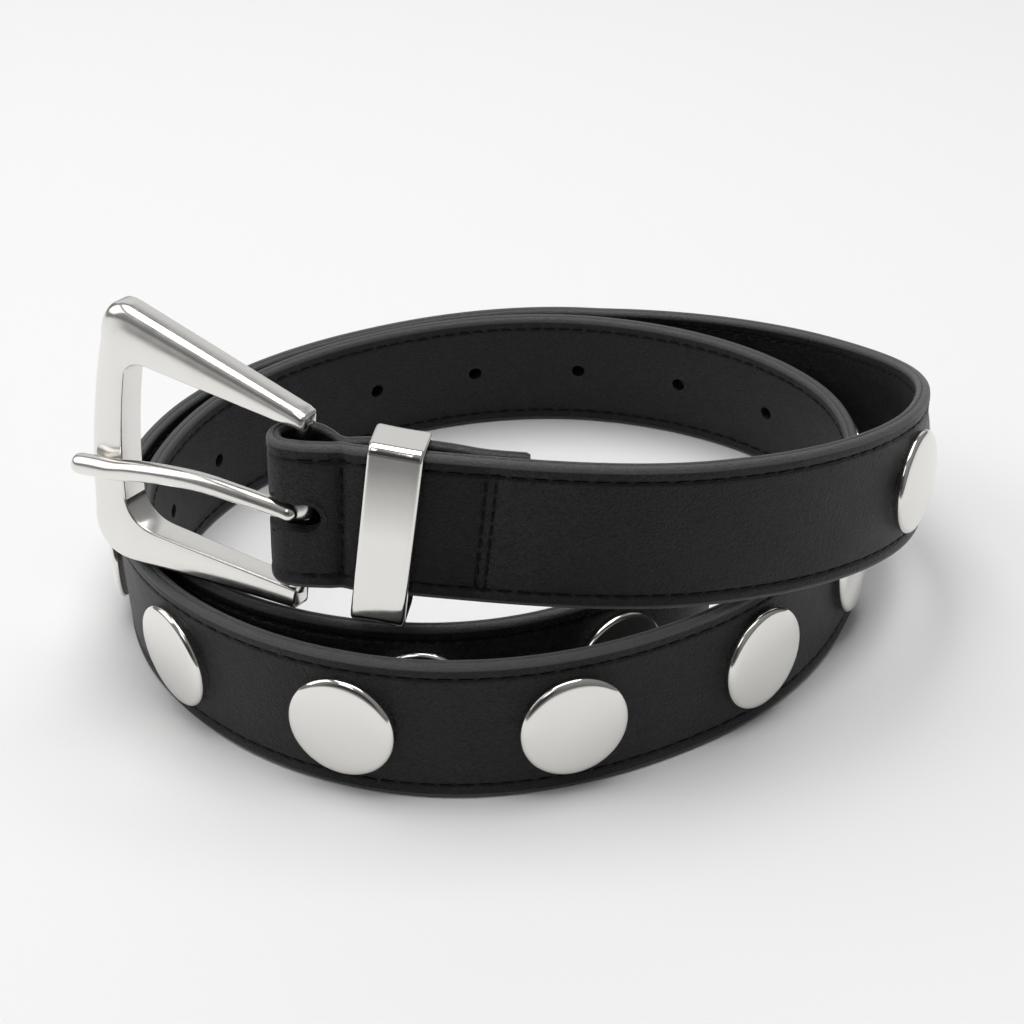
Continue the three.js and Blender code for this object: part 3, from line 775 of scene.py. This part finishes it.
# Prong: round rod with rounded ends, over its eye on the bar
def prong_point(reach):
    rise = row_value(PRONG_ROWS, reach, 1) * FRAME_HEIGHT
    off = row_value(PRONG_ROWS, reach, 2) * FRAME_THICK
    return Vector((-reach * FRAME_LENGTH, rise, off))


PRONG_SIDES = 28
PRONG_SHORT = 0.020
prong_start, prong_end = PRONG_ROWS[0][0], PRONG_ROWS[-1][0] - PRONG_SHORT


def prong_ring(reach, scale=1.0, push=0.0):
    """Ring round the rod, scaled and pushed along it for the rounded ends."""
    run = (prong_point(reach + 0.005) - prong_point(reach - 0.005)).normalized()
    side = (Vector((0, 1, 0)) - run * run.y).normalized()
    top_dir = run.cross(side)
    centre = prong_point(reach) + run * push
    radius = PRONG_RADIUS * row_value(PRONG_ROWS, reach, 3) * scale
    return [centre + side * x + top_dir * y for x, y in circle(PRONG_SIDES, radius)]


END_ANGLES = [math.radians(angle) for angle in (15, 30, 45, 60, 74, 84)]
PRONG_STEPS = 60
root_radius = PRONG_RADIUS * PRONG_ROWS[0][3]
prong_rings = []
for a in reversed(END_ANGLES):
    prong_rings.append(prong_ring(prong_start, math.cos(a), -root_radius * math.sin(a)))
for i in range(PRONG_STEPS + 1):
    prong_rings.append(prong_ring(prong_start + (prong_end - prong_start) * i / PRONG_STEPS))
for a in END_ANGLES:
    prong_rings.append(prong_ring(prong_end, math.cos(a), PRONG_RADIUS * math.sin(a)))
prong = loft("prong_rod", prong_rings, frame_basis, 50)

# Eye of the prong: a ring of one section, the same above and below its middle
eye_in = BAR_RADIUS + PRONG_PLAY
eye_out = eye_in + EYE_WALL
EYE_SIDES = 48
h = EYE_HEIGHT / 2
upper = [
    (eye_in, h - 0.3), (eye_in + 0.12, h - 0.08), (eye_in + 0.4, h),
    (eye_out - 0.5, h), (eye_out - 0.15, h - 0.2), (eye_out, h - 0.6),
]
eye_profile = upper + [(r, -y) for r, y in reversed(upper)]
m = len(eye_profile)
eye_pts, eye_fs = [], []
for k, (x, z) in enumerate(circle(EYE_SIDES)):
    j = (k + 1) % EYE_SIDES
    eye_pts += [Vector((r * x, y, r * z)) for r, y in eye_profile]
    for i in range(m):
        q = (i + 1) % m
        eye_fs.append((k * m + i, k * m + q, j * m + q, j * m + i))
eye = new_object("prong_eye", place(eye_pts, frame_basis), eye_fs, smooth=40)
face_outwards(eye)

# Keeper: flat ring with softened corners
middle, along, up, out = strap_after(KEEPER_ALONG)
fold_gap = BAR_ROOM * row_value(FOLD_ROWS, KEEPER_ALONG / FOLD_LENGTH, 1)
fold_depth = STRAP_THICK + SKIVED_THICK + fold_gap
KEEPER_DEPTH = fold_depth + 2 * (KEEPER_PLAY + KEEPER_WALL)
keeper_centre = middle + out * (STRAP_THICK - fold_depth) / 2
keeper_centre -= up * (KEEPER_HEIGHT / 2 - KEEPER_RIM - 2 * KEEPER_PLAY - STRAP_WIDTH / 2)
keeper_centre -= up * KEEPER_HANG
keeper_basis = frame_matrix(-out, up, along, keeper_centre)
for degrees, axis in ((KEEPER_TILT, "X"), (KEEPER_YAW, "Y")):
    keeper_basis = keeper_basis @ Matrix.Rotation(math.radians(degrees), 4, axis)


def round_rect(width, height, radius, steps=8):
    pts = []
    for cx, cy, a0 in ((1, -1, -90), (1, 1, 0), (-1, 1, 90), (-1, -1, 180)):
        corner_x, corner_y = cx * (width / 2 - radius), cy * (height / 2 - radius)
        for k in range(steps + 1):
            a = math.radians(a0 + 90 * k / steps)
            pts.append((corner_x + radius * math.cos(a), corner_y + radius * math.sin(a)))
    return pts


def drawn_in(value, size, by):
    """The value moved towards the middle, where it is near a side."""
    return value - math.copysign(by, value) if abs(value) > size / 2 - 2 else value


KEEPER_ROUND = 1.9
KEEPER_INNER_ROUND = 0.9
outer = round_rect(KEEPER_DEPTH, KEEPER_HEIGHT, KEEPER_ROUND)
inner = round_rect(
    KEEPER_DEPTH - 2 * KEEPER_WALL, KEEPER_HEIGHT - 2 * KEEPER_RIM, KEEPER_INNER_ROUND)
# Rings along the keeper: how far the outline is drawn in, and where.
# Its bevels are the same at both ends, and its faces are very slightly hollow.
L = KEEPER_LENGTH / 2
KEEPER_BEVEL = [(0, 0.75), (0.06, 0.42), (0.22, 0.16), (0.5, 0.02), (0.8, 0)]
keeper_rings = [(by, -L + z) for by, z in reversed(KEEPER_BEVEL)]
for z in (-L + 2.2, -L / 3, 0, L / 3, L - 2.2):
    keeper_rings.append((KEEPER_HOLLOW * (1 - (z / L) ** 2) - 0.02, z))
keeper_rings += [(by, L - z) for by, z in KEEPER_BEVEL]
kp = []
for by, z in keeper_rings:
    for x, y in outer:
        kp.append(Vector((drawn_in(x, KEEPER_DEPTH, by), drawn_in(y, KEEPER_HEIGHT, by), z)))
kp += [Vector((x, y, L)) for x, y in inner] + [Vector((x, y, -L)) for x, y in inner]
n = len(outer)
ring_count = len(keeper_rings) + 2
kf = bands(ring_count, n)
for k in range(n):
    j = (k + 1) % n
    kf.append(((ring_count - 1) * n + k, (ring_count - 1) * n + j, j, k))
keeper = new_object("keeper_ring", place(kp, keeper_basis), kf, smooth=38)
face_outwards(keeper)


# Materials
def grey(v, tint=(1, 1, 1)):
    return (v * tint[0], v * tint[1], v * tint[2], 1)


class Tree:
    """Node tree of a material or the world, with short calls for the nodes used here."""

    def __init__(self, owner):
        owner.use_nodes = True
        self.nodes, self.links = owner.node_tree.nodes, owner.node_tree.links
        self.nodes.clear()

    def add(self, kind, **inputs):
        node = self.nodes.new(kind)
        for socket, value in inputs.items():
            self.feed(node, socket, value)
        return node

    def feed(self, node, socket, value):
        """Link another node's output, or set a plain value."""
        if isinstance(value, bpy.types.NodeSocket):
            self.links.new(value, node.inputs[socket])
        else:
            node.inputs[socket].default_value = value

    def place_at(self, output="Object"):
        return self.add("ShaderNodeTexCoord").outputs[output]

    def noise(self, source, scale, detail=3, rough=0.55, stretch=None):
        if stretch:
            mapping = self.add("ShaderNodeMapping", Vector=source, Scale=stretch)
            source = mapping.outputs["Vector"]
        return self.add(
            "ShaderNodeTexNoise", Vector=source, Scale=scale, Detail=detail, Roughness=rough)

    def ramp(self, source, stops):
        node = self.add("ShaderNodeValToRGB", Fac=source)
        elements = node.color_ramp.elements
        while len(elements) < len(stops):
            elements.new(0.5)
        for element, (at, colour) in zip(elements, stops):
            element.position = at
            element.color = colour
        return node.outputs["Color"]

    def maths(self, operation, *values):
        node = self.add("ShaderNodeMath")
        node.operation = operation
        for i, value in enumerate(values):
            self.feed(node, i, value)
        return node.outputs["Value"]

    def mix(self, blend, share, first, second):
        node = self.add("ShaderNodeMixRGB", Fac=share, Color1=first, Color2=second)
        node.blend_type = blend
        return node.outputs["Color"]

    def bump(self, height, strength, distance):
        node = self.add(
            "ShaderNodeBump", Height=height, Strength=strength, Distance=distance)
        return node.outputs["Normal"]

    def split(self, vector):
        return self.add("ShaderNodeSeparateXYZ", Vector=vector).outputs


def new_material(name):
    mat = bpy.data.materials.new(name)
    tree = Tree(mat)
    shader = tree.add("ShaderNodeBsdfPrincipled")
    tree.add("ShaderNodeOutputMaterial", Surface=shader.outputs["BSDF"])
    return mat, tree, shader


# Painted light and shade in the leather's colour along the strap, in tenths of a metre from the
# bar:
# painted shade and light in bands where the fold is pressed and bent near the buckle, even beyond
PAINTED_SHADING_ALONG = [
    (0.0, 1.25), (0.045, 1.20), (0.080, 0.45), (0.098, 1.25), (0.14, 1.25), (0.21, 0.50),
    (0.335, 0.62), (0.365, 1.45), (0.52, 0.95), (0.80, 0.75), (1.0, 1.10),
]
LEATHER_LOW, LEATHER_HIGH = 0.0098, 0.0126
EDGE_TONE = 0.082
GRAIN_SCALE = 1500


def leather_material(name, dark=1.0, specular=0.26):
    mat, tree, shader = new_material(name)
    place_at = tree.place_at()
    cool = (1, 1, 1.03)
    blotch = tree.noise(place_at, 70, 5, 0.62).outputs["Fac"]
    colour = tree.ramp(blotch, [
        (0.28, grey(LEATHER_LOW * dark, cool)), (0.75, grey(LEATHER_HIGH * dark, cool))])
    # Pebbles and wrinkles of the grain, bent by a soft noise
    warp = tree.noise(place_at, 420, 3, 0.6).outputs["Color"]
    bent = tree.mix("LINEAR_LIGHT", 0.0016, place_at, warp)
    grain = tree.add("ShaderNodeTexVoronoi")
    grain.feature = "DISTANCE_TO_EDGE"
    tree.feed(grain, "Scale", GRAIN_SCALE)
    tree.feed(grain, "Vector", bent)
    pebble = tree.ramp(grain.outputs["Distance"], [(0.0, grey(0.0)), (0.24, grey(1.0))])
    wrinkle = tree.noise(place_at, GRAIN_SCALE, 3, 0.6).outputs["Fac"]
    fine = tree.noise(place_at, 2600, 2, 0.5).outputs["Fac"]
    coarse = tree.maths("MULTIPLY_ADD", pebble, 0.32, wrinkle)
    height = tree.maths("MULTIPLY_ADD", fine, 0.25, coarse)
    tree.feed(shader, "Normal", tree.bump(height, 0.75, 0.00032))
    # Painted shade: creases of the grain a little darker than its crests
    grain_crease_shade = tree.ramp(height, [(0.52, grey(0.35)), (0.95, grey(1.50))])
    shade = tree.mix("MULTIPLY", 1.0, colour, grain_crease_shade)
    # Painted light and shade along the strap, read from the table above by the distance from the
    # bar
    chart = tree.add("ShaderNodeUVMap")
    chart.uv_map = "belt"
    along, across, _ = tree.split(chart.outputs["UV"])
    near = tree.maths("MULTIPLY", along, 10.0)
    painted_shading = tree.ramp(near, [(at, grey(v)) for at, v in PAINTED_SHADING_ALONG])
    leather_with_painted_shading = tree.mix("MULTIPLY", 1.0, shade, painted_shading)
    # Painted edges of the strap, greyer than its faces
    over = tree.maths("SUBTRACT", tree.maths("ABSOLUTE", across), 0.5)
    edge = tree.ramp(over, [(0.50, grey(0.0)), (0.66, grey(1.0))])
    painted = tree.mix("MIX", edge, leather_with_painted_shading, grey(EDGE_TONE * dark, (1, 1, 1.02)))
    tree.feed(shader, "Base Color", painted)
    sheen = tree.noise(place_at, 130, 3, 0.5).outputs["Fac"]
    tree.feed(shader, "Roughness", tree.ramp(sheen, [(0.3, grey(0.40)), (0.7, grey(0.46))]))
    tree.feed(shader, "Specular IOR Level", specular)
    return mat


def nickel_material(name, rough_low=0.07, rough_high=0.13):
    mat, tree, shader = new_material(name)
    place_at = tree.place_at()
    tone = 0.82
    cloud = tree.noise(place_at, 60, 3, 0.5).outputs["Fac"]
    colour = tree.ramp(cloud, [
        (0.3, grey(tone * 0.97, (1, 0.978, 0.935))), (0.75, grey(tone, (1, 0.982, 0.945)))])
    smear = tree.noise(place_at, 240, 4, 0.6).outputs["Fac"]
    rough = tree.ramp(smear, [(0.3, grey(rough_low)), (0.72, grey(rough_high))])
    # Fine lines of the polish over long, shallow waves
    polish = tree.noise(place_at, 3200, 2, 0.5, (1, 1, 0.15)).outputs["Fac"]
    waves = tree.noise(place_at, 120, 2, 0.5).outputs["Fac"]
    height = tree.maths("MULTIPLY_ADD", waves, 3.0, polish)
    tree.feed(shader, "Normal", tree.bump(height, 0.05, 0.00006))
    tree.feed(shader, "Base Color", colour)
    tree.feed(shader, "Roughness", rough)
    tree.feed(shader, "Metallic", 1.0)
    return mat


leather = leather_material("black_leather")
# The thread is far darker than the leather: its own black, and painted shade of the groove it lies
# in
thread_mat = leather_material("black_thread_groove_shade", 0.22, 0.18)
nickel = nickel_material("polished_nickel")
cast = nickel_material("cast_nickel", 0.15, 0.24)


def finish(obj, mat, body):
    obj.data.materials.clear()
    obj.data.materials.append(mat)
    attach(obj, body)


for obj in (strap, slot_rim):
    finish(obj, leather, "strap")
finish(stitches, thread_mat, "strap")
for stud in studs:
    finish(stud, nickel, "strap")
for obj in (plate, bar):
    finish(obj, cast, "buckle")
for obj in (prong, eye):
    finish(obj, cast, "prong")
finish(keeper, nickel, "keeper")
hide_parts("strap")
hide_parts("buckle_frame")
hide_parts("prong")
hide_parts("keeper")


# Pale floor and soft studio light
def flat_sheet(name, low, high, z):
    (x0, y0), (x1, y1) = low, high
    mesh = bpy.data.meshes.new(name)
    mesh.from_pydata([(x0, y0, z), (x1, y0, z), (x1, y1, z), (x0, y1, z)], [], [(0, 1, 2, 3)])
    obj = bpy.data.objects.new(name, mesh)
    bpy.context.scene.collection.objects.link(obj)
    return obj


def matt_sheet(obj, name):
    mat, tree, shader = new_material(name)
    tree.feed(shader, "Base Color", grey(0.86))
    tree.feed(shader, "Roughness", 0.7)
    tree.feed(shader, "Specular IOR Level", 0.2)
    obj.data.materials.append(mat)
    return tree, shader


matt_sheet(flat_sheet("floor", (-4, -4), (4, 6), 0), "pale_floor")

# Dark card in front of the belt, seen only in the polished metal and the leather.
# It fades out towards the belt, by a ramp on its own Y.
card = flat_sheet("front_card", (-1.5, -1.5), (1.5, -0.15), 0.001)
card.visible_camera = False
card.visible_diffuse = False
card.visible_shadow = False
tree, shader = matt_sheet(card, "front_card")
_, card_y, _ = tree.split(tree.place_at())
nearer = tree.maths("MULTIPLY_ADD", card_y, 2.0, 1.0)
card_tones = [(0.35, grey(0.10)), (0.60, grey(0.22)), (0.70, grey(0.84))]
tree.feed(shader, "Base Color", tree.ramp(nearer, card_tones))


def area(name, where, aim, size, watts, shape="RECTANGLE", size_y=None):
    data = bpy.data.lights.new(name, "AREA")
    data.shape = shape
    data.size = size
    data.size_y = size_y or size
    data.energy = watts
    obj = bpy.data.objects.new(name, data)
    bpy.context.scene.collection.objects.link(obj)
    obj.location = where
    obj.rotation_euler = (Vector(aim) - Vector(where)).to_track_quat("-Z", "Y").to_euler()
    return obj


area("key_left", (-1.35, 0.20, 0.95), (0, 0, 0.03), 1.2, 7)
area("overhead", (0.0, 0.10, 1.5), (0, 0, 0), 1.3, 17.5)
area("fill_front", (-0.7, -1.3, 1.5), (0, 0, 0.03), 0.8, 3)
area("back_card", (0.1, 2.0, 1.0), (0, 0, 0.1), 3.0, 6.5, size_y=1.4)

# Sky brighter overhead, and a dark room behind the viewer, low in front of the belt
world = bpy.data.worlds.new("studio")
bpy.context.scene.world = world
tree = Tree(world)
place_at = tree.place_at("Generated")
_, _, rise = tree.split(place_at)
SKY = [(0.0, 0.75), (0.30, 0.90), (0.70, 1.10), (0.93, 1.25), (1.0, 1.30)]
sky = tree.ramp(rise, [(at, grey(v)) for at, v in SKY])
towards = tree.nodes.new("ShaderNodeVectorMath")
towards.operation = "DOT_PRODUCT"
tree.feed(towards, 0, place_at)
tree.feed(towards, 1, Vector((-0.30, -0.94, 0.16)).normalized())
room = tree.ramp(towards.outputs["Value"], [(0.74, grey(1)), (0.93, grey(0.22))])
dimmed = tree.mix("MULTIPLY", 1.0, sky, room)
background = tree.add("ShaderNodeBackground", Color=dimmed, Strength=0.24)
tree.add("ShaderNodeOutputWorld", Surface=background.outputs["Background"])
